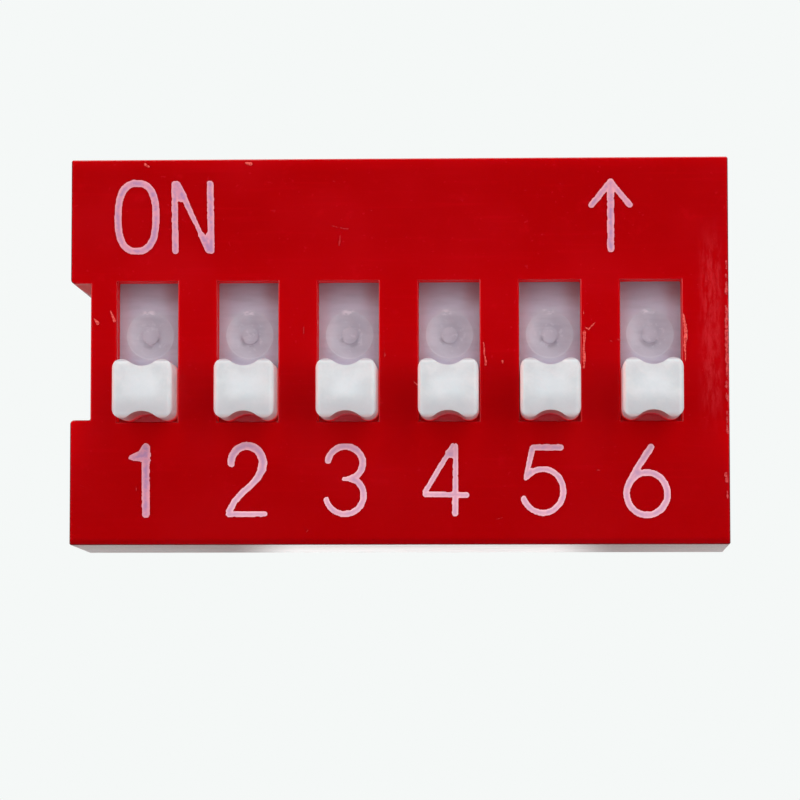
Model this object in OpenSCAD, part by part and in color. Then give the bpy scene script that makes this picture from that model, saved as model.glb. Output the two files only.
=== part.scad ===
// Six-position slide DIP switch for through-hole mounting.
// Millimetres. The origin is the centre of the seating plane, the face of the base rim that
// rests on the circuit board. X runs along the row of positions, from position 1 to the last,
// +Y points to the ON side and +Z points up, away from the board. All sliders stand at OFF.

/* [Layout] */
// Number of switch positions
positions = 6; // [2:1:10]
// Distance between neighbouring positions
pitch = 2.54; // [2.5:0.01:2.8]
// Distance between the two rows of terminals, leg centre to leg centre
row_spacing = 7.62; // [7.3:0.01:7.8]
// Overall height from the seating plane to the top face of the cover
body_height = 5.0; // [4.8:0.05:6]

/* [Cover] */
// Distance from the centre of an outer position to the end of the cover, at its top face
end_margin = 1.95; // [1.9:0.01:2.4]
// Distance from the legs' centreline to the side of the cover, at its top face
side_margin = 1.07; // [1:0.005:1.4]
// Thickness of the top face
cover_top = 0.6; // [0.5:0.01:0.8]
// Thickness of the long side walls at the top face
side_wall = 0.5; // [0.4:0.01:0.6]
// Height of the skirt's lower edge above the seating plane
skirt_gap = 0.5; // [0.3:0.01:0.8]
// Outward draft of the four outer walls, in degrees
draft = 1.6; // [0.5:0.1:2]
// Radius of the four upright corners
cover_edge = 0.05; // [0.03:0.01:0.12]
// Width of a slot, across the row of travel
slot_width = 1.54; // [1.5:0.01:1.7]
// Depth of the orientation notch in the end wall beside position 1
notch_depth = 0.51; // [0.3:0.01:0.55]
// Length of the orientation notch
notch_length = 3.46; // [2.5:0.01:3.8]
// Radius of the two upright edges at the mouth of the notch
notch_edge = 0.1; // [0.05:0.01:0.2]

/* [Base] */
// Width of the potting outside the legs
well_margin = 0.12; // [0.08:0.01:0.18]
// Depth of the well for the potting, from the seating plane
well_depth = 0.9; // [0.7:0.01:1.1]
// Thickness of the floor that carries the terminals
floor_thickness = 0.85; // [0.6:0.01:1]
// Thickness of the base's outer walls above the floor
base_wall = 0.6; // [0.5:0.01:0.65]
// How far the potting's surface lies above the seating plane
seal_recess = 0.2; // [0.1:0.01:0.3]
// How far a snap lug stands out of the base's end wall
lug_reach = 0.12; // [0.08:0.01:0.15]
// Width of a snap lug
lug_width = 1.2; // [0.8:0.05:1.6]
// Height of a snap lug
lug_height = 0.5; // [0.4:0.05:0.8]
// Distance of a snap lug's centre from the middle of the base
lug_offset = 2.75; // [2.6:0.05:3.2]

/* [Slider] */
// Travel of a slider from OFF to ON
travel = 2.02; // [1.5:0.01:2.1]
// Height of the knob above the cover
knob_rise = 1.2; // [0.8:0.05:1.6]
// Length of the knob, along the travel
knob_length = 1.48; // [1.4:0.01:1.6]
// Radius of the knob's four lobes, seen from above
knob_lobe = 0.25; // [0.22:0.01:0.28]
// Depth of the thumb groove in the knob's two end faces
knob_groove = 0.18; // [0.12:0.01:0.2]
// Radius along the knob's top edges
knob_edge = 0.13; // [0.05:0.01:0.15]
// Gap between the knob and the end of its slot at either end of the travel
end_gap = 0.03; // [0.02:0.01:0.06]
// Thickness of the slider's sealing plate
plate_thickness = 0.7; // [0.6:0.01:0.8]
// How far the plate runs under the cover past the slot, on each long side
plate_lap = 0.22; // [0.15:0.01:0.25]
// How far the plate still covers the slot's far end when the knob is thrown away from it
plate_cover = 0.25; // [0.15:0.01:0.35]
// Diameter of the moulding dish in the plate, on the ON side of the knob
dish_diameter = 1.2; // [1:0.01:1.3]
// Depth of the moulding dish
dish_depth = 0.13; // [0.05:0.01:0.2]
// Distance between the knob and the rim of the moulding dish
dish_gap = 0.12; // [0.02:0.01:0.15]
// Diameter of the gate mark in the dish
gate_diameter = 0.42; // [0.3:0.01:0.5]
// Height of the gate mark over the bottom of the dish
gate_height = 0.04; // [0.02:0.01:0.06]
// Thickness of the carrier between the plate and the contact's crown
carrier_thickness = 0.29; // [0.2:0.01:0.5]
// Thickness of the two cheeks that stand beside the contact
cheek_thickness = 0.25; // [0.15:0.01:0.3]

/* [Moving contact] */
// Width of the contact strip
contact_width = 1.0; // [0.8:0.01:1.1]
// Thickness of the contact strip
contact_thickness = 0.12; // [0.08:0.01:0.15]
// Distance of each contact bump from the middle of the slider
bump_offset = 1.3; // [1.25:0.01:1.4]
// Radius of a contact bump, on the strip's centreline
bump_radius = 0.25; // [0.2:0.01:0.3]
// Half length of the flat crown that the slider carries
crown_half = 0.45; // [0.4:0.01:0.5]
// Radius of the bend beside the crown, on the strip's centreline
crown_bend = 0.2; // [0.15:0.01:0.25]
// Width of the slit that parts each arm into two fingers
slit_width = 0.18; // [0.1:0.01:0.3]
// Distance from the middle of the contact at which the slits begin
slit_start = 0.8; // [0.7:0.05:1]
// Radius of the peg that locates the contact on the slider
peg_radius = 0.22; // [0.18:0.01:0.25]

/* [Terminals] */
// Thickness of the terminal strip
terminal_thickness = 0.25; // [0.2:0.01:0.3]
// Width of a contact pad
pad_width = 1.3; // [1.1:0.01:1.4]
// Clear distance between a parked bump and the end of the pads beside it
pad_clear = 0.4; // [0.3:0.01:0.45]
// Width of the leg inside the floor
shoulder_width = 1.0; // [0.8:0.01:1.1]
// Width of the free leg
leg_width = 0.5; // [0.4:0.01:0.6]
// Length of the free leg below the seating plane
leg_length = 3.3; // [2.5:0.05:4]
// Length of the tapered tip
tip_length = 0.45; // [0.3:0.01:0.6]
// Width of the leg at its very end
tip_width = 0.25; // [0.15:0.01:0.35]
// Bend radius of the terminal, on the strip's centreline
terminal_bend = 0.25; // [0.2:0.01:0.3]
// Depth of the detent grooves in the pads
detent_depth = 0.04; // [0.02:0.01:0.06]

/* [Fits] */
// Running gap around the sliders
running_gap = 0.05; // [0.03:0.01:0.07]
// Gap between the knob and each side of its slot
knob_gap = 0.02; // [0.015:0.005:0.04]
// Gap between pieces that are fixed to each other
fixed_gap = 0.02; // [0.01:0.01:0.03]

/* [Hidden] */

$fn = 48;
// Steps in each computed arc
arc_steps = 8;
// How far a cut runs past the face that it opens
past = 1;

// Plan of the cover, the sliders and the base
row_length = (positions - 1) * pitch;
cover_length = row_length + 2 * end_margin;
cover_width = row_spacing + 2 * side_margin;
slot_length = travel + knob_length + 2 * end_gap;
plate_width = slot_width + 2 * plate_lap;
channel_width = plate_width + 2 * running_gap;
rib_thickness = pitch - channel_width;
cavity_length = row_length + channel_width;
cavity_width = cover_width - 2 * side_wall;
base_length = cavity_length - 2 * fixed_gap;
base_width = cavity_width - 2 * fixed_gap;
channel_length = base_width - 2 * base_wall;
well_width = row_spacing + terminal_thickness + 2 * well_margin;
rim_width = (base_width - well_width) / 2;
well_length = base_length - 2 * rim_width;
home = -travel / 2;
knob_width = slot_width - 2 * knob_gap;
plate_length = slot_length + travel + 2 * plate_cover;

// Levels, from the board upwards
floor_top = well_depth + floor_thickness;
cavity_top = body_height - cover_top;
plate_top = cavity_top - running_gap;
plate_bottom = plate_top - plate_thickness;
base_top = plate_bottom - running_gap;
crown_seat = plate_bottom - carrier_thickness;
crown_level = crown_seat - contact_thickness / 2;
cheek_bottom = (floor_top + crown_level) / 2;
pad_level = floor_top - terminal_thickness / 2;
lug_bottom = floor_top - lug_height - fixed_gap;

// The cheeks beside the contact, and the peg with its hole
cheek_inside = contact_width / 2 + running_gap;
cheek_outside = cheek_inside + cheek_thickness;
cheek_half_length = bump_offset - bump_radius;
peg_tip = crown_level - contact_thickness;
peg_hole = peg_radius + fixed_gap;

// Each pad ends short of the bump that is parked on the bare floor at OFF
parked_bump = home + bump_offset;
pad_ends = [parked_bump - pad_clear, parked_bump + pad_clear];
bump_stops = [for (side = [-1, 1], end = [-1, 1]) end * home + side * bump_offset];
detent_radius = bump_radius + contact_thickness / 2;
leg_offset = row_spacing / 2;

function position_x(i) = (i - (positions + 1) / 2) * pitch;

// Points of an arc about [x, y], from one angle to another
function arc(centre, radius, from, to) = [
    for (k = [0:arc_steps])
        let (a = from + (to - from) * k / arc_steps)
        centre + radius * [cos(a), sin(a)]
];

// A strip's centreline is a list of [point, heading]. These are the stretches of a bend whose
// centre is given, to the left of the strip (turn = 1) or to its right (turn = -1)
function bend(centre, radius, turn, from, to) = [
    for (k = [0:arc_steps])
        let (a = from + (to - from) * k / arc_steps)
        [centre + turn * radius * [sin(a), -cos(a)], a]
];

// The same centreline seen in a mirror, and run the other way
function mirrored(line) = [
    for (k = [len(line) - 1:-1:0]) [[-line[k][0].x, line[k][0].y], -line[k][1]]
];

// One edge of a strip, at a distance to the left of its centreline
function strip_edge(line, distance) = [
    for (station = line)
        station[0] + distance * [-sin(station[1]), cos(station[1])]
];

function reversed(list) = [for (k = [len(list) - 1:-1:0]) list[k]];

module strip(line, thickness) {
    polygon(concat(
        strip_edge(line, thickness / 2),
        reversed(strip_edge(line, -thickness / 2))
    ));
}

// Turns a profile drawn in Y and Z into a bar of the given width, centred on X = 0
module bar_across(width) {
    translate([-width / 2, 0, 0])
        rotate([90, 0, 90])
            linear_extrude(width) children();
}

// Turns a profile drawn in X and Z into a bar of the given length, centred on Y = 0
module bar_along(length) {
    translate([0, length / 2, 0])
        rotate([90, 0, 0])
            linear_extrude(length) children();
}

// A box centred on X and Y, between two levels
module block(width, length, bottom, top) {
    translate([-width / 2, -length / 2, bottom])
        cube([width, length, top - bottom]);
}

// ---- Cover ----

// Rounds the outward corners of an outline
module rounded(radius) {
    offset(r = radius, $fn = 24)
        offset(delta = -radius)
            children();
}

// Plan of the cover's top face, with the notch in its left end
module cover_outline() {
    intersection() {
        rounded(cover_edge) square([cover_length, cover_width], center = true);
        rounded(notch_edge)
            difference() {
                square([cover_length, cover_width + 2 * past], center = true);
                translate([-cover_length / 2 - past, -notch_length / 2])
                    square([past + notch_depth, notch_length]);
            }
    }
}

// The outer form flares from the top face down to the skirt's edge
module cover_form() {
    skirt = body_height - skirt_gap;
    flare = 2 * skirt * tan(draft);
    translate([0, 0, body_height])
        mirror([0, 0, 1])
            linear_extrude(
                skirt,
                scale = [1 + flare / cover_length, 1 + flare / cover_width],
                slices = 1
            )
                cover_outline();
}

// Wedge profile of a snap lug, leaning on the end wall at X = 0, with its catch on top. It
// starts inside the wall
module lug_profile(reach, height) {
    polygon([
        [-reach, 0], [0, 0], [reach, height - reach / 2], [reach, height], [-reach, height]
    ]);
}

// The four snap lugs, or the pockets that take them when they get a gap
module snap_lugs(gap) {
    for (end = [0, 180], side = [-1, 1])
        rotate([0, 0, end])
            translate([base_length / 2, side * lug_offset, lug_bottom - gap])
                bar_along(lug_width + 2 * gap)
                    lug_profile(lug_reach + 2 * gap, lug_height + 2 * gap);
}

module cover() {
    color("#b5000c") {
        difference() {
            cover_form();
            block(cavity_length, cavity_width, skirt_gap - past, cavity_top);
            for (i = [1:positions])
                translate([position_x(i), 0, 0])
                    block(slot_width, slot_length, cavity_top - past, body_height + past);
            snap_lugs(running_gap);
        }
        for (i = [1:positions - 1])
            translate([position_x(i) + pitch / 2, 0, 0])
                block(rib_thickness, cavity_width, plate_bottom, cavity_top);
    }
}

// ---- Base ----

module detents() {
    for (stop = bump_stops)
        translate([0, stop, floor_top + detent_radius - detent_depth])
            rotate([0, 90, 0])
                cylinder(r = detent_radius, h = pad_width, center = true);
}

module base() {
    color("#232325")
        difference() {
            union() {
                block(base_length, base_width, 0, base_top);
                snap_lugs(0);
            }
            block(well_length, well_width, -past, well_depth);
            for (i = [1:positions])
                translate([position_x(i), 0, 0]) {
                    block(channel_width, channel_length, floor_top, base_top + past);
                    for (row = [-1, 1]) terminal_form(row, fixed_gap);
                    detents();
                }
        }
}

// ---- Potting ----

module seal() {
    color("#3b3a38")
        difference() {
            block(
                well_length - 2 * fixed_gap, well_width - 2 * fixed_gap,
                seal_recess, well_depth
            );
            for (i = [1:positions], row = [-1, 1])
                translate([position_x(i), row * leg_offset, 0])
                    block(
                        leg_width + 2 * fixed_gap, terminal_thickness + 2 * fixed_gap,
                        seal_recess - past, well_depth + past
                    );
        }
}

// ---- Slider ----

// Half of the knob's outline: two lobes with a groove between them that runs smoothly into both
function knob_half_outline() =
    let (
        lobe = [knob_width / 2 - knob_lobe, knob_length / 2 - knob_lobe],
        reach = (pow(lobe.x, 2) + pow(knob_groove, 2)) / (2 * knob_groove),
        groove_radius = reach - knob_lobe,
        groove = [0, knob_length / 2 - knob_groove + groove_radius],
        join = atan2(groove.y - lobe.y, -lobe.x)
    )
    concat(
        arc(lobe, knob_lobe, 0, join),
        arc(groove, groove_radius, join - 180, -join),
        arc([-lobe.x, lobe.y], knob_lobe, 180 - join, 180)
    );

module knob_outline() {
    half = knob_half_outline();
    polygon(concat(half, -half));
}

// Upright profile with rounded top corners
module knob_profile(width) {
    centre = [width / 2 - knob_edge, body_height + knob_rise - knob_edge];
    polygon(concat(
        [[width / 2, plate_top]],
        arc(centre, knob_edge, 0, 90),
        arc([-centre.x, centre.y], knob_edge, 90, 180),
        [[-width / 2, plate_top]]
    ));
}

module knob() {
    intersection() {
        translate([0, 0, plate_top])
            linear_extrude(body_height + knob_rise - plate_top) knob_outline();
        bar_along(knob_length + past) knob_profile(knob_width);
        bar_across(knob_width + past) knob_profile(knob_length);
    }
}

// Shallow dish with the mark of the moulding gate, beside the knob
module dish() {
    radius = (pow(dish_diameter / 2, 2) + pow(dish_depth, 2)) / (2 * dish_depth);
    difference() {
        translate([0, 0, plate_top - dish_depth + radius]) sphere(r = radius, $fn = 96);
        cylinder(d = gate_diameter, h = plate_top - dish_depth + gate_height);
    }
}

// Two cheeks and a peg under the plate hold the contact's crown
module carrier() {
    block(2 * cheek_outside, 2 * cheek_half_length, crown_seat, plate_bottom);
    for (side = [-1, 1])
        translate([side * (cheek_inside + cheek_outside) / 2, 0, 0])
            block(cheek_thickness, 2 * cheek_half_length, cheek_bottom, crown_seat);
    translate([0, 0, peg_tip])
        cylinder(r = peg_radius, h = crown_seat - peg_tip);
}

module slider(i) {
    color("#e6e9ea")
        translate([position_x(i), home, 0]) {
            knob();
            carrier();
            difference() {
                block(plate_width, plate_length, plate_bottom, plate_top);
                translate([0, (knob_length + dish_diameter) / 2 + dish_gap, 0]) dish();
            }
        }
}

// ---- Moving contact ----

// Centreline of one arm, from the crown's middle to the tip. The slope is the one that joins the
// bend beside the crown to the bump with a straight stretch
function arm_line() =
    let (
        run = bump_offset - crown_half,
        lowest = floor_top + fixed_gap + contact_thickness / 2,
        radii = crown_bend + bump_radius,
        drop = crown_level - lowest - radii,
        slope = asin(radii / norm([run, drop])) + atan2(drop, run)
    )
    concat(
        bend([crown_half, crown_level - crown_bend], crown_bend, -1, 0, -slope),
        bend([bump_offset, lowest + bump_radius], bump_radius, 1, -slope, slope)
    );

module contact(i) {
    color("#c9a24a")
        translate([position_x(i), home, 0])
            difference() {
                bar_across(contact_width)
                    strip(concat(mirrored(arm_line()), arm_line()), contact_thickness);
                translate([0, 0, peg_tip - past])
                    cylinder(r = peg_hole, h = 2 * past);
                for (side = [-1, 1])
                    translate([0, side * (slit_start + past), 0])
                        block(slit_width, 2 * past, 0, crown_level);
            }
}

// ---- Terminals ----

// Centreline of a terminal in Y and Z, from the end of the pad to the tip of the leg
function terminal_line(pad_end) =
    let (corner = leg_offset - terminal_bend)
    concat(
        [[[pad_end, pad_level], 0]],
        bend([corner, pad_level - terminal_bend], terminal_bend, -1, 0, -90),
        [[[leg_offset, -leg_length], -90]]
    );

// Front outline in X and Z: the pad, the shoulder in the floor and the leg with its tapered tip
module terminal_outline(gap) {
    pad_bottom = floor_top - terminal_thickness - gap;
    half = [
        [pad_width / 2 + gap, floor_top + past],
        [pad_width / 2 + gap, pad_bottom],
        [shoulder_width / 2 + gap, pad_bottom],
        [shoulder_width / 2 + gap, well_depth],
        [leg_width / 2 + gap, well_depth],
        [leg_width / 2 + gap, tip_length - leg_length],
        [tip_width / 2 + gap, -leg_length]
    ];
    polygon(concat(half, reversed([for (p = half) [-p.x, p.y]])));
}

// A terminal of the OFF row (-1) or the ON row (1), or with a gap the space that it is set in
module terminal_form(row, gap) {
    pad_end = row < 0 ? -pad_ends[0] : pad_ends[1];
    scale([1, row, 1])
        intersection() {
            bar_across(pad_width + 2 * gap)
                strip(terminal_line(pad_end - gap), terminal_thickness + 2 * gap);
            bar_along(row_spacing + 2 * past) terminal_outline(gap);
        }
}

// Pins are numbered as on any dual in-line part: 1 to 6 on the OFF side from left to right,
// then back along the ON side
module terminal(pin) {
    row = pin <= positions ? -1 : 1;
    i = row < 0 ? pin : 2 * positions + 1 - pin;
    color("#c4c6c8")
        translate([position_x(i), 0, 0])
            difference() {
                terminal_form(row, 0);
                detents();
            }
}

cover();
base();
seal();
for (i = [1:positions]) {
    slider(i);
    contact(i);
}
for (pin = [1:2 * positions])
    terminal(pin);
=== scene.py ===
"""Looks of a six-position slide DIP switch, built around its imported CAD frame.

The frame carries every rigid piece. This script gives the pieces their plastics and metals,
softens their edges, prints the legend and adds the burrs and scratches of the moulded cover.
Lengths are in millimetres until to_metres() or MM turns them into Blender's metres.
"""

import math

import bpy
import numpy as np
from mathutils import Euler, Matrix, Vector, noise


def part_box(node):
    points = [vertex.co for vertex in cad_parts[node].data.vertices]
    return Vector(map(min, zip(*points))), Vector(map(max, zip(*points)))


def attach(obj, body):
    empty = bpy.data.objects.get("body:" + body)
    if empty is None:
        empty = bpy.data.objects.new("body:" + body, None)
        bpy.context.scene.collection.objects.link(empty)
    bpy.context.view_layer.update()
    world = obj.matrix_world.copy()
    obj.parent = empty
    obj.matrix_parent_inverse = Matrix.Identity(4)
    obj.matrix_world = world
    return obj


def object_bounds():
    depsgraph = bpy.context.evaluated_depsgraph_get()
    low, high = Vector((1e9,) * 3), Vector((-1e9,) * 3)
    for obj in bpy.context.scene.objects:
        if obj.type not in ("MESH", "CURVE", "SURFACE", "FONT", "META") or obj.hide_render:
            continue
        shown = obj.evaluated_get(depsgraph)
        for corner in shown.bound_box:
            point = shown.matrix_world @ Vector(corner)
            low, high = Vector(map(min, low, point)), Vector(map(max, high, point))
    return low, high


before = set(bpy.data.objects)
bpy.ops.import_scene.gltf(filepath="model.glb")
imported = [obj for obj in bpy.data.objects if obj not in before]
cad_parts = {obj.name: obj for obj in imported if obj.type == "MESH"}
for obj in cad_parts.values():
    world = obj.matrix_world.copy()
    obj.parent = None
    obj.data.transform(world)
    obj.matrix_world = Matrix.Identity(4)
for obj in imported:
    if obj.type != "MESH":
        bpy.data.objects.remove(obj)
CAD_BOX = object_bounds()

MM = 0.001

# Camera, above the cover, a little to the right of its middle and below it
CAMERA_PLACE = (2.833, -6.286, 81.689)
CAMERA_TURN = (3.757, 2.091, -0.040)
CAMERA_LENS = 137.55
CAMERA_SENSOR = 36.0
CAMERA_CLIP = 1.0

# Floor: its half width, its gap under the leg tips, its colour, its glow to the camera, and how
# much light it reflects and gives to the object
FLOOR_HALF = 600.0
FLOOR_GAP = 0.002
FLOOR_COLOUR = (0.913, 0.939, 0.930)
FLOOR_GLOW = 1.0
FLOOR_ALBEDO = 0.5
TABLE_GLOW = 0.08

# Bright patch of the floor that the front wall mirrors. Each pair is where it fades in or out,
# along Y, and across X from its middle, first to its dimmer wings and then to nothing.
SPOT_GLOW = 0.85
SPOT_NEAR = (-14.0, -9.0)
SPOT_FAR = (-5.0, -4.0)
SPOT_MIDDLE = 0.4
SPOT_CORE = (3.4, 5.4)
SPOT_WINGS = (9.0, 12.0)
SPOT_WING_SHARE = 0.12

# Studio walls. Each pair is where the glow changes along a component of the direction.
WALL_GLOW = 1.06
CEILING_GLOW = 0.004
CEILING_RISE = (0.85, 0.97)
HORIZON_SHARE = 0.55
HORIZON_RISE = (0.0, 0.5)
FRONT_SHARE = 0.5
FRONT_DEPTH = (-0.75, -0.05)

# Soft boxes, aimed at the origin: place and size of each, and the power of one
SOFT_BOXES = {
    "light_back": ((25, 85, 95), (120, 70)),
    "light_right": ((120, 20, 130), (90, 140)),
    "light_left": ((-140, 10, 95), (90, 140)),
}
SOFT_BOX_POWER = 0.03

# Films on the cover's face: step of the grid that they are cut from, how deep they are sunk,
# width of the ridge along their outline, and the noise that makes the outline ragged, as layers
# of pace per millimetre, seed and weight
FILM_STEP = 0.022
FILM_SINK = 0.003
RIDGE_WIDTH = 0.03
RAGGED = ((9, 3.7, 1.0), (21, 8.1, 0.6))

# Point attribute that is 1 at a film's outline and fades inwards
RIM = "rim"
RIM_WIDTH = 0.05

# Legend, printed on the cover's top face
INK_THICKNESS = 0.005
INK_RIDGE = 0.002
INK_WOBBLE = 0.012
INK_TRIM = 0.004

# Burrs and scratches
BURR_THICKNESS = 0.012
BURR_WOBBLE = 0.015
WORN_WOBBLE = 0.04
SCRATCH_THICKNESS = 0.003
SCRATCH_WOBBLE = 0.012

# Softened edges of the moulded and stamped pieces. Angles are in degrees.
COVER_BEVEL = 0.035
BASE_BEVEL = 0.03
SLIDER_BEVEL = 0.03
TERMINAL_BEVEL = 0.025
BEVEL_SEGMENTS = 3
BEVEL_ANGLE = 35
FLAT_ANGLE = 0.5
WELD_GAP = 1e-4

# Light that comes through the red plastic to the slots' walls, the knobs' walls and the thin ink
SLOT_GLOW = 0.5
KNOB_GLOW = 0.14
GAP_GLOW = 0.33
INK_GLOW = 0.12

# Rows of sliders, and the middles of the knob and the moulding dish in a slider at OFF
PITCH = 2.54
KNOB_MIDDLE = -1.01
DISH_MIDDLE = 0.45

# Rings of flow round the moulding dish, in radians per millimetre
RING_PACE = 42.0

# Zones of the cover. Each pair is where one fades out or in, in millimetres from the middle: the
# slots and the notch lie below theirs, and the face's edges and the outer walls lie beyond theirs.
SLOTS_X = (7.2, 7.3)
SLOTS_Y = (2.1, 2.2)
NOTCH_X = (-7.6, -7.5)
NOTCH_Y = (1.85, 1.95)
FACE_X = (8.15, 8.2)
FACE_Y = (4.75, 4.8)
WALL_X = (8.25, 8.28)
WALL_Y = (4.5, 4.6)

# Read from the frame
POSITIONS = len([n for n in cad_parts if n.startswith("slider_")])
TERMINALS = len([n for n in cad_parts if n.startswith("terminal_")])
COVER_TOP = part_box("cover")[1].z / MM
LEG_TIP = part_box("terminal_1")[0].z / MM


def to_metres(point):
    return Vector(point) * MM


# ---- Nodes of materials ----
#
# Materials are built from zones: smooth steps between two limits, in millimetres or in a component
# of the surface's direction, with a share of 0 to 1 at either end.


def srgb(red, green, blue):
    """Linear colour of 8-bit screen values."""
    return tuple(
        c / 12.92 if c <= 0.04045 else ((c + 0.055) / 1.055) ** 2.4
        for c in (red / 255, green / 255, blue / 255)
    )


class NodeTree:
    """Short calls for the nodes of a material or a world."""

    def __init__(self, owner):
        owner.use_nodes = True
        self.nodes = owner.node_tree.nodes
        self.links = owner.node_tree.links

    def math(self, operation, a, b=0.0):
        node = self.nodes.new("ShaderNodeMath")
        node.operation = operation
        for entry, value in zip(node.inputs, (a, b)):
            if isinstance(value, (int, float)):
                entry.default_value = value
            else:
                self.links.new(value, entry)
        return node.outputs[0]

    def fold(self, operation, values):
        result = values[0]
        for value in values[1:]:
            result = self.math(operation, result, value)
        return result

    def product(self, *values):
        return self.fold("MULTIPLY", values)

    def total(self, *values):
        return self.fold("ADD", values)

    def highest(self, *values):
        return self.fold("MAXIMUM", values)

    def remainder(self, share):
        """What a share leaves of 1."""
        return self.math("SUBTRACT", 1.0, share)

    def absolute(self, value):
        return self.math("ABSOLUTE", value)

    def length(self, a, b):
        """Distance from the origin to the point (a, b)."""
        return self.math("SQRT", self.total(self.math("POWER", a, 2), self.math("POWER", b, 2)))

    def component(self, vector, axis):
        split = self.nodes.new("ShaderNodeSeparateXYZ")
        self.links.new(vector, split.inputs[0])
        return split.outputs[axis]

    def between(self, value, low, high, out_low=0.0, out_high=1.0):
        """Smooth step of a value from low to high."""
        node = self.nodes.new("ShaderNodeMapRange")
        node.interpolation_type = "SMOOTHSTEP"
        self.links.new(value, node.inputs["Value"])
        for entry, number in zip(node.inputs[1:5], (low, high, out_low, out_high)):
            entry.default_value = number
        return node.outputs[0]

    def within(self, value, low, high):
        """1 below low, and 0 above high."""
        return self.between(value, low, high, 1, 0)


class Surface(NodeTree):
    """A material with one Principled shader. Its x, y and z are the place of a surface point in
    millimetres."""

    def __init__(self, name, **sockets):
        self.material = bpy.data.materials.new(name)
        super().__init__(self.material)
        self.shader = self.nodes["Principled BSDF"]
        for socket, value in sockets.items():
            self.set(socket.replace("_", " "), value)
        self.place = self.nodes.new("ShaderNodeTexCoord").outputs["Object"]
        self.x, self.y, self.z = (
            self.product(self.component(self.place, axis), 1 / MM) for axis in "XYZ"
        )

    def set(self, socket, value):
        entry = self.shader.inputs[socket]
        if isinstance(value, tuple) and len(entry.default_value) == 4:
            value = (*value, 1.0)
        entry.default_value = value

    def link(self, output, socket):
        self.links.new(output, self.shader.inputs[socket])

    def noise(self, size, detail=3.0, stretch=(1, 1, 1), roughness=0.5):
        """Noise whose grains measure about size millimetres, times stretch along each axis."""
        mapping = self.nodes.new("ShaderNodeMapping")
        self.links.new(self.place, mapping.inputs["Vector"])
        mapping.inputs["Scale"].default_value = [1 / (MM * size * s) for s in stretch]
        texture = self.nodes.new("ShaderNodeTexNoise")
        texture.inputs["Scale"].default_value = 1.0
        texture.inputs["Detail"].default_value = detail
        texture.inputs["Roughness"].default_value = roughness
        self.links.new(mapping.outputs["Vector"], texture.inputs["Vector"])
        return texture.outputs["Fac"]

    def attribute(self, name):
        node = self.nodes.new("ShaderNodeAttribute")
        node.attribute_name = name
        return node.outputs["Fac"]

    def normal(self, axis):
        """One component of the surface's direction."""
        geometry = self.nodes.new("ShaderNodeNewGeometry")
        return self.component(geometry.outputs["Normal"], axis)

    def facing(self, axis, *limits):
        """Smooth step along one component of the surface's direction."""
        return self.between(self.normal(axis), *limits)

    def rounded(self, wall, top):
        """Rounded edges: where the surface turns up from a wall, and not yet to a top face."""
        return self.product(self.facing("Z", *wall), self.facing("Z", *top, 1, 0))

    def at_height(self, low, high, *outputs):
        """Smooth step between two heights over the cover's top face."""
        return self.between(self.z, COVER_TOP + low, COVER_TOP + high, *outputs)

    def across_position(self):
        """Distance to the right of the middle of the nearest slider."""
        return self.math("SUBTRACT", self.math("FLOORED_MODULO", self.x, PITCH), PITCH / 2)

    def mix(self, share, a, b):
        """Colour a where share is 0, and b where it is 1."""
        node = self.nodes.new("ShaderNodeMix")
        node.data_type = "RGBA"
        self.links.new(share, node.inputs["Factor"])
        for entry, value in zip((node.inputs[6], node.inputs[7]), (a, b)):
            if isinstance(value, tuple):
                entry.default_value = (*value, 1.0)
            else:
                self.links.new(value, entry)
        return node.outputs[2]

    def paint(self, colour, *layers):
        """Lays colours over each other. Each layer is its share and its colour."""
        for share, tint in layers:
            colour = self.mix(share, colour, tint)
        return colour

    def bump(self, heights):
        """Adds up pairs of a height pattern and its depth in micrometres."""
        normal = None
        for pattern, depth in heights:
            node = self.nodes.new("ShaderNodeBump")
            node.inputs["Strength"].default_value = 1.0
            node.inputs["Distance"].default_value = depth * MM / 1000
            self.links.new(pattern, node.inputs["Height"])
            if normal is not None:
                self.links.new(normal, node.inputs["Normal"])
            normal = node.outputs["Normal"]
        self.link(normal, "Normal")


# ---- The cover's red plastic ----


def cover_surface():
    """Red moulded plastic: even gloss, faint flow lines, and a brushed worn band at the right."""
    s = Surface(
        "red_plastic",
        Specular_IOR_Level=0.15,
        Subsurface_Weight=1.0,
        Subsurface_Radius=(0.25 * MM, 0.03 * MM, 0.03 * MM),
        Subsurface_Scale=1.0,
        Coat_Roughness=0.12,
        Emission_Color=srgb(255, 0, 6),
    )
    clouds = s.noise(2.6, detail=2)
    lines = s.noise(0.1, detail=2, stretch=(22, 1, 4))
    streaks = s.noise(0.12, detail=6, stretch=(1, 4, 1), roughness=0.75)
    band = s.product(s.between(s.x, 7.45, 7.8), s.within(s.x, 8.0, 8.2),
                     s.between(s.y, -2.4, -0.8), s.within(s.y, 2.0, 3.5))
    brushed = s.product(band, s.between(streaks, 0.38, 0.62))

    colour = cover_face(s, clouds, lines)
    colour = s.mix(s.product(brushed, 0.38), colour, srgb(226, 56, 66))
    s.link(cover_edges(s, colour, streaks), "Base Color")
    light_cover(s, clouds)
    s.bump([(s.noise(0.06, detail=4), 0.5), (lines, 1.0), (s.noise(1.2), 2.0), (brushed, 2.0)])
    return s.material


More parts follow.
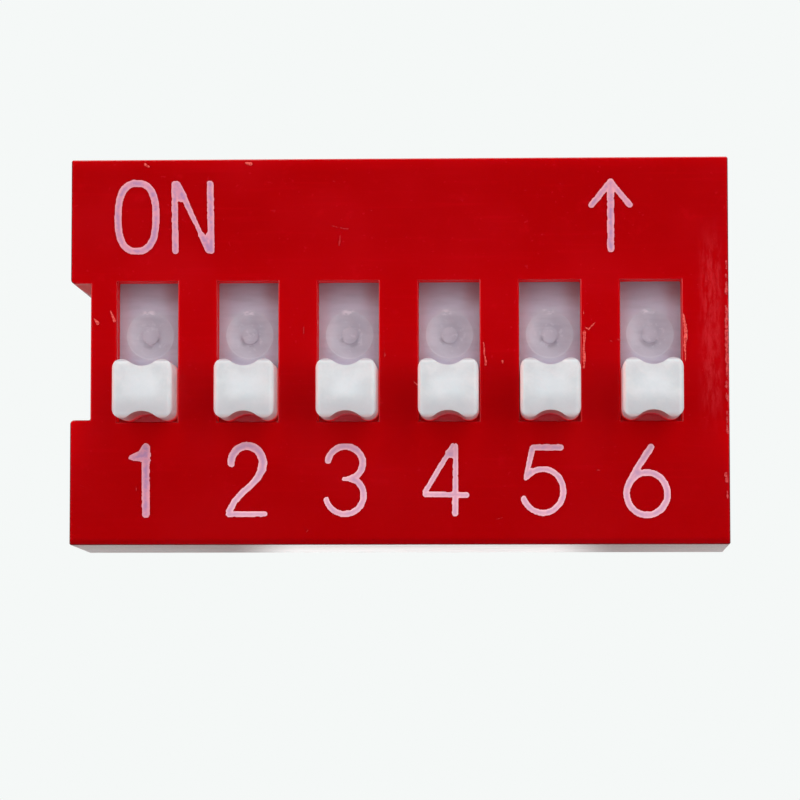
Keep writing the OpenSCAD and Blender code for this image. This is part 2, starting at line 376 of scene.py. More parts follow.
def cover_face(s, clouds, lines):
    """Colour of the flat face: painted light makes it paler between the slots, in front of the
    knobs where their shadows fall and at the back edge, and painted shade makes it darker towards
    the front edge and darker still along it."""
    # Painted light: the face is paler in a band across the slots.
    row = s.between(s.absolute(s.y), 1.6, 3.2, 0.45, 0)
    smudges = s.between(s.noise(0.4, detail=5, roughness=0.7), 0.56, 0.72, 0, 0.3)
    specks = s.between(s.noise(0.08, detail=0), 0.8, 0.86, 0, 0.3)
    # Painted light in front of each knob, lifting the shade of its shadow.
    painted_light_before_knobs = s.product(s.within(s.absolute(s.across_position()), 0.45, 1.15),
                      s.between(s.y, -1.75, -1.8), s.between(s.y, -3.2, -1.8))
    # Painted shade: darker towards the front edge.
    painted_shade_to_front = s.between(s.y, -2.8, -4.0, 0, 0.65)
    # Painted light along the back edge.
    painted_light_back_rim = s.between(s.y, 4.5, 4.78, 0, 0.25)
    # Painted shade along the front edge.
    painted_shade_front_rim = s.between(s.y, -4.68, -4.82, 0, 0.4)
    return s.paint(
        s.mix(s.between(clouds, 0.35, 0.65), srgb(186, 0, 6), srgb(192, 0, 9)),
        (row, srgb(203, 0, 9)),
        (s.between(lines, 0.52, 0.8, 0, 0.3), srgb(208, 4, 20)),
        (smudges, srgb(212, 12, 26)),
        (specks, srgb(220, 40, 54)),
        (painted_light_before_knobs, srgb(208, 0, 8)),
        (painted_shade_to_front, srgb(182, 0, 6)),
        (painted_light_back_rim, srgb(208, 0, 8)),
        (painted_shade_front_rim, srgb(120, 0, 8)),
    )


def cover_edges(s, colour, streaks):
    """Colour with the rounded edges: painted shade on the face's edges that turn from the light,
    painted highlights on the back edge and the slots' right edges, painted shade on the slots'
    edges that face the back or the right, worn at the right end, and scraped beside the notch."""
    edge = s.rounded((0.25, 0.5), (0.9, 0.99))
    outer = s.highest(s.between(s.absolute(s.x), *FACE_X), s.between(s.absolute(s.y), *FACE_Y))
    inner_edge = s.product(edge, s.remainder(outer))
    to_back = s.facing("Y", 0.2, 0.4)
    to_left = s.facing("X", -0.2, -0.4)
    to_right = s.facing("X", 0.2, 0.4)
    # Painted shade on the face's outer edges, except the back one.
    dark = s.product(edge, outer, s.facing("Y", 0.2, 0.4, 0.85, 0))
    worn = s.product(edge, s.between(s.x, *FACE_X), s.within(s.absolute(s.y), 1.4, 2.6),
                     s.between(streaks, 0.4, 0.58))
    # Painted shade on the slots' edges that face the back or the right.
    painted_shade_share = s.highest(s.product(to_back, 0.55), s.product(to_right, 0.25))
    # Painted highlights on the face's back edge and on the slots' right edges.
    pale = s.highest(s.product(edge, outer, to_back, 0.4), s.product(inner_edge, to_left, 0.18))
    scraped = s.product(s.between(s.x, -7.6, -7.7), s.facing("Y", -0.3, -0.7),
                        s.between(s.y, 1.3, 1.6), s.at_height(-0.06, -0.1))
    return s.paint(
        colour,
        (dark, srgb(84, 0, 10)),
        (s.product(worn, 0.8), srgb(224, 74, 80)),
        (s.product(inner_edge, painted_shade_share), srgb(110, 0, 8)),
        (pale, srgb(255, 150, 150)),
        (s.product(scraped, 0.45), srgb(212, 150, 146)),
    )


def light_cover(s, clouds):
    """Gloss and glow. The outer walls have a clear gloss, weaker towards the top and the right.
    The slots' walls are dull and glow a little, for the light that comes through the plastic."""
    off_x, off_y = s.absolute(s.x), s.absolute(s.y)
    below = s.at_height(-0.14, -0.06, 1, 0)
    slots = s.product(s.within(off_y, *SLOTS_Y), s.within(off_x, *SLOTS_X))
    notch = s.product(s.within(off_y, *NOTCH_Y), s.within(s.x, *NOTCH_X))
    inside = s.product(below, s.total(slots, notch))
    s.link(s.highest(s.between(clouds, 0.3, 0.7, 0.19, 0.25), s.product(inside, 0.6)), "Roughness")

    waves = s.between(s.noise(0.35, detail=3, stretch=(4, 4, 1)), 0.35, 0.6, 0.85, 1)
    to_right = s.between(s.x, 3.0, 5.5, 1, 0.9)
    to_top = s.at_height(-4.0, -0.5, 1, 0.68)
    outside = s.highest(s.between(off_x, *WALL_X), s.between(off_y, *WALL_Y))
    wall = s.product(waves, to_right, to_top, s.at_height(-0.12, -0.05, 1, 0), outside)
    s.link(wall, "Coat Weight")

    slot_share = s.total(s.facing("Y", 0.3, 0.7), s.product(s.facing("Y", -0.3, -0.7), 0.15), 0.12)
    share = s.total(s.product(slots, slot_share), s.product(notch, 0.1))
    s.link(s.product(below, share, SLOT_GLOW), "Emission Strength")


# ---- The sliders' white nylon ----


def slider_surface():
    """White nylon: soft gloss, a little light passes through, fine mottling from the mould, and
    rings of flow round the moulding dish."""
    s = Surface(
        "white_nylon",
        Roughness=0.38,
        Specular_IOR_Level=0.45,
        Subsurface_Weight=0.7,
        Subsurface_Radius=(0.5 * MM, 0.35 * MM, 0.35 * MM),
        Subsurface_Scale=1.0,
    )
    mottle = s.noise(0.45, detail=4, roughness=0.6)
    grain = s.noise(0.07, detail=3)
    across = s.across_position()
    along = s.math("SUBTRACT", s.y, DISH_MIDDLE)
    reach = s.length(across, along)
    wavy = s.total(reach, s.product(s.noise(0.4, detail=3), 0.2))

    knob = knob_colour(s, mottle, grain, across)
    plate = plate_colour(s, across, along, reach, wavy)
    # Below the cover's face the nylon takes the plate's colours, whose lilac tint is painted shade
    # and painted red light from the cover.
    s.link(s.mix(s.at_height(-0.5, 0.3, 1, 0), knob, plate), "Base Color")
    light_slider(s)
    rings = s.math("SINE", s.product(wavy, RING_PACE))
    s.bump([(mottle, 7.0), (grain, 0.8), (rings, 0.4)])
    return s.material


def knob_colour(s, mottle, grain, across):
    """White, with painted light brightest at the middle of the top and painted shade duller to the
    front and on the back edges. Painted red light from the cover tints the rounded edges at the
    front and left, and painted shade darkens the front thumb groove where it turns down."""
    along = s.math("SUBTRACT", s.y, KNOB_MIDDLE)
    edge = s.rounded((0.1, 0.4), (0.75, 0.95))
    # Painted red light from the cover on the rounded left and front edges.
    painted_red_light_edge = s.product(edge, s.highest(s.facing("X", -0.1, -0.5), s.facing("Y", -0.1, -0.5)))
    # Painted shade on the rounded back edges.
    painted_shade_back_edge = s.product(edge, s.facing("Y", 0.1, 0.5))
    # Painted light on the middle of the knob's top.
    painted_light_top = s.product(s.within(s.absolute(across), 0.15, 0.65), s.between(along, -0.4, -0.05),
                      s.within(along, 0.1, 0.6))
    # Painted shade, reddened by painted light from the cover, where the front thumb groove turns
    # down.
    groove = s.product(s.within(s.absolute(across), 0.3, 0.6), s.facing("Y", -0.2, -0.6),
                       s.facing("Z", 0.4, 0.1))
    # Painted shade: the knob's top is duller towards the front.
    painted_shade_to_front = s.between(along, -0.08, -0.55, 0, 0.62)
    return s.paint(
        s.mix(s.between(mottle, 0.3, 0.7), srgb(215, 218, 221), srgb(228, 229, 231)),
        (s.between(grain, 0.5, 0.75, 0, 0.5), srgb(222, 222, 222)),
        (painted_red_light_edge, srgb(255, 214, 212)),
        (s.product(painted_light_top, 0.45), srgb(243, 246, 250)),
        (painted_shade_to_front, srgb(198, 195, 200)),
        (painted_shade_back_edge, srgb(196, 194, 200)),
        (s.product(groove, 0.75), srgb(164, 102, 102)),
    )


def plate_colour(s, across, along, reach, wavy):
    """Plate seen down the slot, with flow lines, a gate ring and specks. Its lilac tint is painted
    shade and painted red light from the cover. Painted shade darkens it at the back, right of the
    dish's middle and on the dish's front slope; painted red light and shade redden it at the left
    and the back right; and painted highlights light the dish's front left slope and back rim.
    Across, along and reach are measured from the middle of the moulding dish, and wavy is the reach
    with a wobble."""
    flow = s.between(s.noise(0.12, detail=3, stretch=(5, 1, 1)), 0.4, 0.7, 0, 0.35)
    front_left = s.total(s.product(across, -0.9), s.product(along, -0.4),
                         s.product(s.noise(0.6), 0.4))
    # Painted highlight on the dish's front left slope.
    painted_highlight_crescent = s.product(s.between(wavy, 0.3, 0.55), s.within(wavy, 0.58, 0.78),
                         s.between(front_left, 0.15, 0.5))
    right_shade = s.product(s.between(across, -0.1, 0.15), s.between(along, 0.75, 0.35),
                            s.between(along, -0.55, -0.2))
    # Painted shade on the dish's front slope.
    painted_shade_front_slope = s.product(s.between(along, -0.1, -0.4), s.within(reach, 0.54, 0.62))
    from_gate = s.length(across, s.total(along, 0.08))
    gate = s.product(s.between(from_gate, 0.13, 0.19), s.within(from_gate, 0.19, 0.3),
                     s.between(s.noise(0.28, detail=1), 0.42, 0.6), s.between(along, 0.05, -0.15))
    specks = s.product(s.within(reach, 0.3, 0.5), s.between(s.noise(0.13, detail=2), 0.55, 0.7))
    # Painted highlight on the dish's back rim.
    painted_glint = s.product(s.between(s.absolute(s.total(across, 0.04)), 0.07, 0.2, 0.7, 0),
                      s.within(s.absolute(s.math("SUBTRACT", along, 0.58)), 0.02, 0.1),
                      s.between(s.noise(0.09, stretch=(2, 1, 1)), 0.4, 0.6))
    # Painted shade: the plate is darker towards the back of the slot.
    to_back = s.between(s.y, 0.85, 1.7, 0, 0.45)
    # Painted red light from the cover: the plate is redder at its left.
    to_left = s.between(across, -0.4, -0.72, 0, 0.4)
    # Painted shade and painted red light at the plate's back right.
    painted_shade_back_right = s.product(s.between(across, 0.2, 0.72), s.between(s.y, 0.95, 1.6))
    # Lilac tint: painted shade and painted red light from the cover.
    return s.paint(
        s.mix(s.within(wavy, 0.66, 0.86), srgb(210, 206, 222), srgb(208, 207, 219)),
        (flow, srgb(184, 182, 196)),
        (s.product(painted_highlight_crescent, 0.45), srgb(222, 222, 233)),
        (s.product(right_shade, 0.35), srgb(180, 177, 192)),
        (s.product(painted_shade_front_slope, 0.5), srgb(180, 177, 191)),
        (s.product(gate, 0.45), srgb(146, 141, 156)),
        (s.product(specks, 0.35), srgb(232, 230, 240)),
        (painted_glint, srgb(246, 240, 250)),
        (to_back, srgb(158, 148, 166)),
        (to_left, srgb(204, 168, 180)),
        (s.product(painted_shade_back_right, 0.45), srgb(166, 92, 92)),
    )


def light_slider(s):
    """Glow of the light that comes through the cover: on the knob's left and back walls, less on
    its right wall, and in the gaps beside it."""
    above = s.at_height(-0.1, 0.15)
    wall = s.product(s.facing("Z", 0.15, 0.8, 1, 0), above,
                     s.facing("X", -0.6, 0.2, 1, 0.2), s.facing("Y", -0.6, -0.1))
    gap = s.product(s.between(s.absolute(s.normal("X")), 0.5, 0.9), s.within(above, 0, 1),
                    s.at_height(-0.6, -0.3))
    s.link(s.mix(above, srgb(235, 100, 96), srgb(255, 178, 186)), "Emission Color")
    s.link(s.total(s.product(wall, KNOB_GLOW), s.product(gap, GAP_GLOW)), "Emission Strength")


# ---- The other materials ----


def base_surface():
    s = Surface("black_plastic", Roughness=0.55)
    grain = s.noise(0.09, detail=4)
    s.link(s.mix(grain, srgb(28, 28, 30), srgb(46, 46, 49)), "Base Color")
    s.bump([(grain, 5.0)])
    return s.material


def potting_surface():
    s = Surface("epoxy", Roughness=0.18, Coat_Weight=0.3)
    swirl = s.noise(1.4, detail=4)
    s.link(s.mix(swirl, srgb(34, 30, 27), srgb(62, 55, 48)), "Base Color")
    s.bump([(swirl, 30.0), (s.noise(0.15), 3.0)])
    return s.material


def terminal_surface():
    """Tinned strip with rolling streaks along the leg, and bare brass at the sheared tip."""
    s = Surface("tinned_brass", Metallic=1.0)
    streaks = s.noise(0.05, detail=3, stretch=(1, 1, 14))
    tin = s.mix(streaks, srgb(188, 188, 184), srgb(226, 226, 222))
    sheared = s.within(s.z, LEG_TIP + 0.01, LEG_TIP + 0.05)
    s.link(s.mix(sheared, tin, srgb(206, 170, 96)), "Base Color")
    s.link(s.between(streaks, 0.3, 0.7, 0.24, 0.42), "Roughness")
    s.bump([(streaks, 2.0), (s.noise(0.3), 4.0)])
    return s.material


def contact_surface():
    s = Surface("gold_flash", Metallic=1.0, Roughness=0.25)
    grain = s.noise(0.06, detail=3, stretch=(1, 8, 1))
    s.link(s.mix(grain, srgb(222, 180, 92), srgb(240, 202, 120)), "Base Color")
    s.bump([(grain, 1.5)])
    return s.material


def ink_surface():
    """White ink: thin and pink along its rim, cloudy lilac where it lies thick, and freshest from
    the digit 2 to the right."""
    s = Surface(
        "white_ink",
        Roughness=0.5,
        Specular_IOR_Level=0.3,
        Emission_Color=srgb(255, 40, 50),
    )
    cloud = s.noise(0.13, detail=4, roughness=0.6)
    fresh = s.product(s.between(s.y, -1.0, -3.0), s.between(s.x, -6.2, -4.6))
    worn = s.between(s.noise(0.05, detail=4, roughness=0.7), 0.66, 0.74, 0, 0.6)
    rim = s.product(s.attribute(RIM), s.between(s.noise(0.3), 0.3, 0.6, 0.65, 1))
    body = s.paint(
        s.mix(s.between(cloud, 0.38, 0.62), srgb(186, 136, 176), srgb(222, 150, 174)),
        (s.product(fresh, 0.45), srgb(238, 184, 210)),
        (worn, srgb(150, 60, 90)),
    )
    pale = s.mix(fresh, srgb(254, 172, 182), srgb(255, 206, 216))
    s.link(s.mix(rim, body, pale), "Base Color")
    s.link(s.product(fresh, rim, INK_GLOW), "Emission Strength")
    s.bump([(cloud, 2.0)])
    return s.material


def scuff_surface(name, dull, bright):
    """Stress-whitened red plastic, where the cover was scraped."""
    s = Surface(name, Roughness=0.5, Specular_IOR_Level=0.3)
    grain = s.noise(0.05, detail=3)
    s.link(s.mix(s.between(grain, 0.35, 0.65), dull, bright), "Base Color")
    s.bump([(grain, 3.0)])
    return s.material


# ---- The CAD nodes' materials and edges ----


def dress(node, material, bevel=0.0):
    """Gives a CAD node its material, and rounds its edges if a bevel is given."""
    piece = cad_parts[node]
    piece.data.materials.clear()
    piece.data.materials.append(material)
    if bevel:
        weld = piece.modifiers.new("weld", "WELD")
        weld.merge_threshold = WELD_GAP * MM
        flat = piece.modifiers.new("flat", "DECIMATE")
        flat.decimate_type = "DISSOLVE"
        flat.angle_limit = math.radians(FLAT_ANGLE)
        round_off = piece.modifiers.new("round", "BEVEL")
        round_off.width = bevel * MM
        round_off.segments = BEVEL_SEGMENTS
        round_off.limit_method = "ANGLE"
        round_off.angle_limit = math.radians(BEVEL_ANGLE)
        round_off.loop_slide = False
        round_off.harden_normals = True


def dress_frame():
    red = cover_surface()
    white = slider_surface()
    gold = contact_surface()
    tin = terminal_surface()
    dress("cover", red, COVER_BEVEL)
    dress("base", base_surface(), BASE_BEVEL)
    dress("seal", potting_surface())
    for i in range(1, POSITIONS + 1):
        dress(f"slider_{i}", white, SLIDER_BEVEL)
        dress(f"contact_{i}", gold)
    for pin in range(1, TERMINALS + 1):
        dress(f"terminal_{pin}", tin, TERMINAL_BEVEL)


# ---- Thin closed films on the cover's face ----


class Outline:
    """Distance to a set of strokes. Each stroke is a list of points, and tapers from one half
    width to another."""

    def __init__(self, strokes):
        starts, ends, widths = [], [], []
        for points, first, last in strokes:
            count = len(points) - 1
            for k in range(count):
                starts.append(points[k])
                ends.append(points[k + 1])
                widths.append([first + (last - first) * t / count for t in (k, k + 1)])
        self.a = np.array(starts)
        self.b = np.array(ends)
        self.widths = np.array(widths)

    def grid(self):
        """Points of a square grid that covers the strokes, row by row, and its two counts."""
        margin = self.widths.max() + 2 * FILM_STEP
        corners = np.vstack([self.a, self.b])
        low = corners.min(0) - margin
        rows, columns = np.ceil((corners.max(0) + margin - low) / FILM_STEP).astype(int) + 1
        steps = np.stack(np.mgrid[0:rows, 0:columns], -1).reshape(-1, 2)
        return low + FILM_STEP * steps, rows, columns

    def distance(self, points):
        """Signed distance of each point, below zero inside a stroke."""
        along = self.b - self.a
        to_point = points[:, None, :] - self.a[None]
        t = np.clip((to_point * along).sum(2) / (along**2).sum(1), 0, 1)
        gap = np.linalg.norm(to_point - t[..., None] * along, axis=2)
        width = self.widths[:, 0] * (1 - t) + self.widths[:, 1] * t
        return (gap - width).min(1)


def ragged(x, y):
    """Noise that makes an outline ragged."""
    return sum(
        weight * noise.noise(Vector((x * pace, y * pace, seed))) for pace, seed, weight in RAGGED
    )


def triangles(rows, columns):
    """Corner numbers of the two triangles in each square of a grid."""
    for row in range(rows - 1):
        for column in range(columns - 1):
            a = row * columns + column
            b, c, d = a + columns, a + columns + 1, a + 1
            yield a, b, c
            yield a, c, d


def cut_grid(grid, rows, columns, depth):
    """The part of a grid whose depth is above zero, cut off where it is zero. Returns the points,
    their depths and the faces."""
    places, depths, faces, numbers = [], [], [], {}

    def point(key, place, its_depth):
        if key not in numbers:
            numbers[key] = len(places)
            places.append(place)
            depths.append(its_depth)
        return numbers[key]

    def crossing(j, m):
        share = depth[j] / (depth[j] - depth[m])
        return point((min(j, m), max(j, m)), grid[j] + share * (grid[m] - grid[j]), 0.0)

    for triangle in triangles(rows, columns):
        if max(depth[j] for j in triangle) <= 0:
            continue
        face = []
        for j, m in zip(triangle, triangle[1:] + triangle[:1]):
            if depth[j] > 0:
                face.append(point(j, grid[j], depth[j]))
            if (depth[j] > 0) != (depth[m] > 0):
                face.append(crossing(j, m))
        faces.append(face)
    return places, depths, faces


def film(name, strokes, material, thickness, wobble, ridge=0.0):
    """A thin film over the strokes, with a ragged outline and a ridge along it. It is closed, and
    its edge and underside are sunk into the cover's face."""
    outline = Outline(strokes)
    grid, rows, columns = outline.grid()
    roughness = np.array([ragged(x, y) for x, y in grid])
    depth = -(outline.distance(grid) + wobble * roughness)
    places, depths, faces = cut_grid(grid, rows, columns, depth)

    top = []
    for (x, y), d in zip(places, depths):
        rise = thickness * min(1, d / (2 * FILM_STEP))
        rise += ridge * math.exp(-((d / RIDGE_WIDTH - 1) ** 2))
        top.append((x, y, COVER_TOP + (rise if d > 0 else -FILM_SINK)))
    inner = [k for k, d in enumerate(depths) if d > 0]
    below = {k: len(top) + n for n, k in enumerate(inner)}
    bottom = [(places[k][0], places[k][1], COVER_TOP - 2 * FILM_SINK) for k in inner]
    under = [[below.get(k, k) for k in reversed(face)] for face in faces]
    piece = add_mesh(name, [to_metres(p) for p in top + bottom], faces + under, material)
    rim = piece.data.attributes.new(RIM, "FLOAT", "POINT")
    values = [math.exp(-((d / RIM_WIDTH) ** 2)) for d in depths] + [0.0] * len(bottom)
    rim.data.foreach_set("value", values)
    return piece


def add_mesh(name, vertices, faces, material, smooth=True):
    mesh = bpy.data.meshes.new(name)
    mesh.from_pydata(vertices, [], faces)
    mesh.validate()
    mesh.materials.append(material)
    mesh.polygons.foreach_set("use_smooth", [smooth] * len(mesh.polygons))
    piece = bpy.data.objects.new(name, mesh)
    bpy.context.scene.collection.objects.link(piece)
    return piece


def lay(piece):
    """Makes a film ride on the cover."""
    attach(piece, "housing")


# ---- Strokes ----


def stroke(width, points, last=None):
    """Points of a stroke, with half its width at its start and at its end."""
    return [Vector(p) for p in points], width / 2, (last or width) / 2


def arc(centre, radii, start, end, steps=28):
    """Points along an ellipse from one angle to another, in degrees."""
    turns = [math.radians(start + (end - start) * k / steps) for k in range(steps + 1)]
    return [
        (centre[0] + radii[0] * math.cos(t), centre[1] + radii[1] * math.sin(t)) for t in turns
    ]


def oval(half_width, half_height, power=0.8, steps=60):
    """Points round an upright oval whose sides are straighter than an ellipse's."""
    points = []
    for k in range(steps + 1):
        turn = math.radians(360 * k / steps)
        across, along = (
            math.copysign(abs(v) ** power, v) for v in (math.cos(turn), math.sin(turn))
        )
        points.append((half_width * (1 + across), half_height * (1 + along)))
    return points


# Strokes of each character of the legend, from its lower left corner
CHARACTERS = {
    "1": [
        stroke(0.22, [(0.42, 1.70), (0.43, 0.02)], 0.21),
        stroke(0.23, [(0.42, 1.67), (0.28, 1.54), (0.04, 1.47)], 0.09),
        stroke(0.09, [(0.02, 1.43), (0.47, 1.37)], 0.17),
        stroke(0.18, [(0.13, 1.44), (0.44, 1.51)], 0.23),
    ],
    "2": [
        stroke(0.20, arc((0.47, 1.285), (0.40, 0.435), 181, -19), 0.235),
        stroke(0.22, [(0.86, 1.135), (0.75, 0.93), (0.56, 0.71)], 0.17),
        stroke(0.17, [(0.58, 0.735), (0.39, 0.57), (0.16, 0.325), (0.02, 0.065)], 0.18),
        stroke(0.165, [(0.015, 0), (0.92, 0)], 0.15),
    ],
    "3": [
        stroke(0.185, arc((0.49, 1.28), (0.44, 0.415), 171, -49)),
        stroke(0.16, [(0.80, 0.97), (0.55, 0.885), (0.45, 0.88)], 0.11),
        stroke(0.16, [(0.60, 0.89), (0.815, 0.81)]),
        stroke(0.185, arc((0.475, 0.467), (0.475, 0.468), 62, -167), 0.155),
    ],
    "4": [
        stroke(0.175, [(0.73, 0.045), (0.745, 1.745)], 0.135),
        stroke(0.14, [(0.675, 1.745), (-0.025, 0.58)]),
        stroke(0.29, [(0.615, 1.545), (0.69, 1.455)], 0.11),
        stroke(0.15, [(-0.02, 0.52), (1.02, 0.505)], 0.16),
    ],
    "5": [
        stroke(0.175, [(0.90, 1.65), (0.235, 1.655)]),
        stroke(0.17, [(0.20, 1.63), (0.08, 1.11), (0.025, 0.865)], 0.105),
        stroke(0.16, [(0.06, 0.92), (0.16, 1.04)], 0.21),
        stroke(0.165, arc((0.46, 0.56), (0.515, 0.55), 116, -159)),
    ],
    "6": [
        stroke(0.19, [(0.565, 1.70), (0.195, 1.135), (0.01, 0.805)], 0.165),
        stroke(0.18, arc((0.465, 0.535), (0.51, 0.533), 0, 360, 48)),
        stroke(0.285, [(0.23, 1.085), (0.31, 1.055)], 0.16),
    ],
    "O": [
        stroke(0.195, oval(0.482, 0.865)),
    ],
    "N": [
        stroke(0.185, [(0.02, -0.025), (-0.005, 1.67)], 0.17),
        stroke(0.25, [(0.045, 1.635), (0.17, 1.355)], 0.29),
        stroke(0.175, [(0.205, 1.385), (0.715, 0.30)], 0.115),
        stroke(0.175, [(0.68, 0.38), (0.88, 0.015)], 0.235),
        stroke(0.185, [(0.93, -0.02), (0.90, 1.675)]),
        stroke(0.18, [(0.83, 0.295), (0.855, 0.435)], 0.08),
    ],
    "arrow": [
        stroke(0.19, [(0.5, 0), (0.5, 1.70)]),
        stroke(0.17, [(0.02, 1.12), (0.5, 1.70), (0.98, 1.12)]),
    ],
}

# Lower left corner of each character on the cover
LEGEND = {
    "1": (-6.80, -4.12),
    "2": (-4.29, -4.11),
    "3": (-1.83, -4.11),
    "4": (0.69, -4.14),
    "5": (3.16, -4.10),
    "6": (5.76, -4.15),
    "O": (-7.11, 2.55),
    "N": (-5.67, 2.58),
    "arrow": (4.85, 2.55),
}

# Burrs and flakes that the knobs and slots have thrown up, as strokes on the cover's face
BURRS = {
    "top_edge_a": [stroke(0.09, [(-6.42, 4.75), (-6.33, 4.71)], 0.05)],
    "top_edge_b": [stroke(0.05, [(-3.87, 4.79), (-3.75, 4.76)], 0.10)],
    "left_of_1": [stroke(0.05, [(-7.28, 1.02), (-7.24, 0.9), (-7.19, 0.79)], 0.08)],
    "notch_side": [stroke(0.03, [(-7.72, 0.86), (-7.61, 0.72)], 0.10)],
    "right_of_4": [
        stroke(0.03, [(2.14, 0.20), (2.16, 0.05), (2.16, -0.10)], 0.05),
        stroke(0.05, [(2.17, -0.14), (2.20, -0.30), (2.19, -0.36)], 0.07),
        stroke(0.05, [(2.61, -0.27), (2.62, -0.32)]),
    ],
    "left_of_4": [stroke(0.03, [(0.37, -0.77), (0.49, -0.88)], 0.04)],
    "right_of_5": [
        stroke(0.02, [(4.67, 1.03), (4.66, 0.92)]),
        stroke(0.03, [(4.95, 0.70), (4.85, 0.60), (4.78, 0.52)], 0.05),
        stroke(0.03, [(4.69, 0.58), (4.78, 0.53)], 0.04),
        stroke(0.08, [(4.68, 0.46), (4.67, 0.25), (4.66, 0.01)], 0.05),
        stroke(0.09, [(4.66, -0.06), (4.67, -0.20), (4.66, -0.45)], 0.06),
    ],
    "right_of_6": [
        stroke(0.03, [(7.155, 0.90), (7.17, 0.84), (7.20, 0.64)], 0.08),
        stroke(0.10, [(7.20, 0.62), (7.22, 0.36), (7.19, 0.10)], 0.08),
        stroke(0.06, [(7.19, 0.12), (7.21, -0.20), (7.20, -0.31)], 0.04),
    ],
}

# Worn stretches of the cover's right edge
WORN = {
    "right_edge": [
        stroke(0.03, [(8.245, 2.3), (8.235, 1.4)], 0.05),
        stroke(0.06, [(8.24, 1.1), (8.235, 0.5), (8.24, -0.3)], 0.08),
        stroke(0.08, [(8.24, -0.3), (8.235, -0.8), (8.245, -1.3)], 0.05),
        stroke(0.03, [(8.24, -1.4), (8.235, -2.1)], 0.04),
        stroke(0.07, [(8.20, -3.1), (8.215, -3.32)], 0.06),
        stroke(0.06, [(8.225, -3.55), (8.23, -3.75)], 0.04),
    ],
}

# Shallow scratches, only a little paler than the cover
SCRATCHES = {
    "upper_middle": [
        stroke(0.04, [(-1.66, 4.32), (-1.60, 4.29)]),
        stroke(0.02, [(-1.75, 3.19), (-1.5, 3.12), (-1.27, 3.09)], 0.04),
        stroke(0.03, [(-1.47, 2.93), (-1.50, 2.67)], 0.05),
        stroke(0.04, [(-0.76, 3.58), (-0.66, 3.55)], 0.03),
    ],
    "left_of_4": [
        stroke(0.02, [(-0.36, 0.38), (-0.36, -0.51)]),
        stroke(0.05, [(-0.35, -0.06), (-0.34, -0.12)]),
    ],
    "right_of_2": [stroke(0.03, [(-2.39, 0.64), (-2.39, 0.26)], 0.02)],
    "left_of_6": [
        stroke(0.04, [(5.32, 0.23), (5.36, 0.22)]),
        stroke(0.05, [(5.52, 0.27), (5.56, 0.24)]),
    ],
    "beside_5": [stroke(0.05, [(5.00, -3.02), (5.04, -3.03)])],
    "below_4": [stroke(0.03, [(2.45, -4.25), (2.62, -4.20)])],
    "beside_1": [
        stroke(0.02, [(-8.06, -3.37), (-7.9, -3.42), (-7.75, -3.52)], 0.03),
        stroke(0.03, [(-6.62, -3.40), (-6.62, -3.52)]),
    ],
    "beside_3": [stroke(0.03, [(-2.33, -4.47), (-2.27, -4.52), (-2.32, -4.56)])],
}


def print_legend():
    ink = ink_surface()
    for sign, place in LEGEND.items():
        name = f"print_{sign}" if sign == "arrow" else f"print_mark_{sign}"
        strokes = [
            ([p + Vector(place) for p in points], first - INK_TRIM, last - INK_TRIM)
            for points, first, last in CHARACTERS[sign]
        ]
        lay(film(name, strokes, ink, INK_THICKNESS, INK_WOBBLE, INK_RIDGE))


def wear_cover():
    burr = scuff_surface("burr_red", srgb(214, 44, 42), srgb(252, 104, 94))
    worn = scuff_surface("worn_red", srgb(188, 22, 30), srgb(228, 76, 76))
    scratch = scuff_surface("scratch_red", srgb(192, 6, 14), srgb(204, 22, 32))
    for kind, group, material, thickness, wobble in (
        ("burr", BURRS, burr, BURR_THICKNESS, BURR_WOBBLE),
        ("burr", WORN, worn, BURR_THICKNESS, WORN_WOBBLE),
        ("scratch", SCRATCHES, scratch, SCRATCH_THICKNESS, SCRATCH_WOBBLE),
    ):
        for name, strokes in group.items():
            lay(film(f"{kind}_{name}", strokes, material, thickness, wobble))


# ---- Studio ----


def make_camera():
    camera = bpy.data.objects.new("camera", bpy.data.cameras.new("camera"))
    camera.location = to_metres(CAMERA_PLACE)
    camera.rotation_euler = Euler([math.radians(a) for a in CAMERA_TURN])
    camera.data.lens = CAMERA_LENS
    camera.data.sensor_width = CAMERA_SENSOR
    camera.data.clip_start = CAMERA_CLIP * MM
    bpy.context.scene.collection.objects.link(camera)
    bpy.context.scene.camera = camera


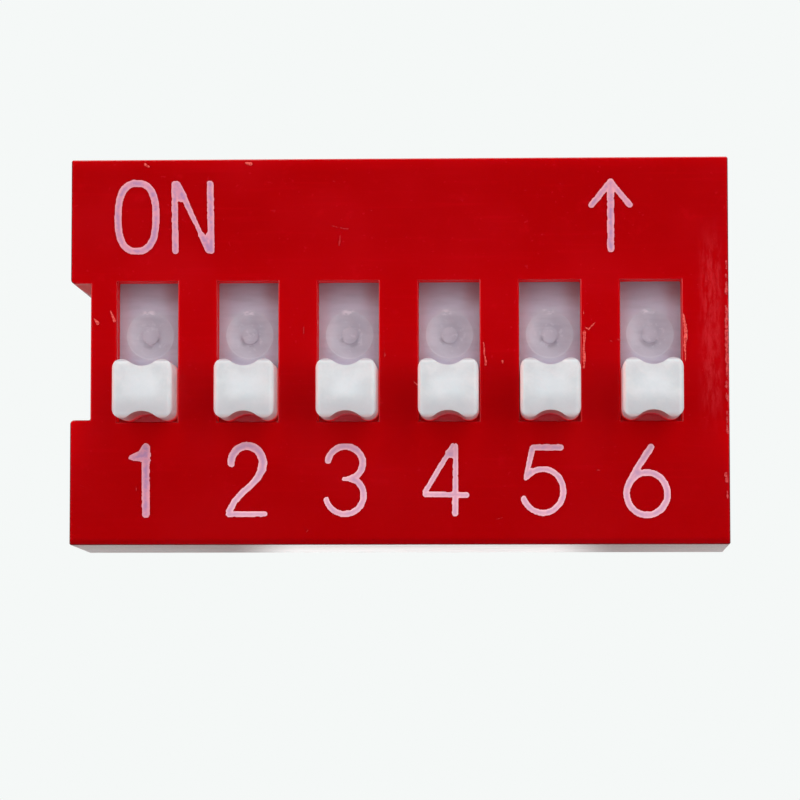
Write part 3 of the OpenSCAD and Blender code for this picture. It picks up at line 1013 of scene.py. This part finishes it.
def floor_surface():
    """Paper that is seen evenly lit, and reflects light onto the object as plain paper would.
    From below it is clear, so that the underside can be seen."""
    s = Surface("floor", Roughness=0.9, Specular_IOR_Level=0.0, Emission_Color=FLOOR_COLOUR)
    seen = s.nodes.new("ShaderNodeLightPath").outputs["Is Camera Ray"]
    under = s.nodes.new("ShaderNodeNewGeometry").outputs["Backfacing"]
    paper = tuple(c * FLOOR_ALBEDO for c in FLOOR_COLOUR)
    s.link(s.mix(seen, paper, (0.0, 0.0, 0.0)), "Base Color")
    s.link(s.remainder(under), "Alpha")

    across = s.absolute(s.math("SUBTRACT", s.x, SPOT_MIDDLE))
    spot = s.product(
        s.between(s.y, *SPOT_NEAR),
        s.within(s.y, *SPOT_FAR),
        s.between(across, *SPOT_CORE, 1, SPOT_WING_SHARE),
        s.within(across, *SPOT_WINGS),
    )
    to_object = s.product(s.total(s.product(spot, SPOT_GLOW), TABLE_GLOW), s.remainder(seen))
    s.link(s.total(to_object, s.product(seen, FLOOR_GLOW)), "Emission Strength")
    return s.material


def make_floor():
    level = CAD_BOX[0].z / MM - FLOOR_GAP
    corners = [(-1, -1), (1, -1), (1, 1), (-1, 1)]
    vertices = [to_metres((x * FLOOR_HALF, y * FLOOR_HALF, level)) for x, y in corners]
    floor = add_mesh("floor", vertices, [(0, 1, 2, 3)], floor_surface(), smooth=False)


def make_world():
    """Pale walls to the back and the sides, dimmer to the front. It is dark straight above."""
    world = bpy.data.worlds.new("studio")
    bpy.context.scene.world = world
    tree = NodeTree(world)
    direction = tree.nodes.new("ShaderNodeTexCoord").outputs["Generated"]
    up = tree.component(direction, "Z")
    back = tree.component(direction, "Y")
    glow = tree.product(
        tree.between(up, *CEILING_RISE, WALL_GLOW, CEILING_GLOW),
        tree.between(up, *HORIZON_RISE, HORIZON_SHARE, 1.0),
        tree.between(back, *FRONT_DEPTH, FRONT_SHARE, 1.0),
    )
    background = tree.nodes["Background"]
    background.inputs["Color"].default_value = (1.0, 1.0, 1.0, 1.0)
    tree.links.new(glow, background.inputs["Strength"])


def soft_box(name, place, size):
    light = bpy.data.lights.new(name, "AREA")
    light.shape = "RECTANGLE"
    light.size, light.size_y = (s * MM for s in size)
    light.energy = SOFT_BOX_POWER
    lamp = bpy.data.objects.new(name, light)
    lamp.location = to_metres(place)
    lamp.rotation_euler = (-Vector(place)).to_track_quat("-Z", "Y").to_euler()
    bpy.context.scene.collection.objects.link(lamp)


def light_studio():
    make_world()
    for name, (place, size) in SOFT_BOXES.items():
        soft_box(name, place, size)


make_camera()
make_floor()
light_studio()
dress_frame()
print_legend()
wear_cover()
bpy.context.scene.view_settings.view_transform = "Standard"
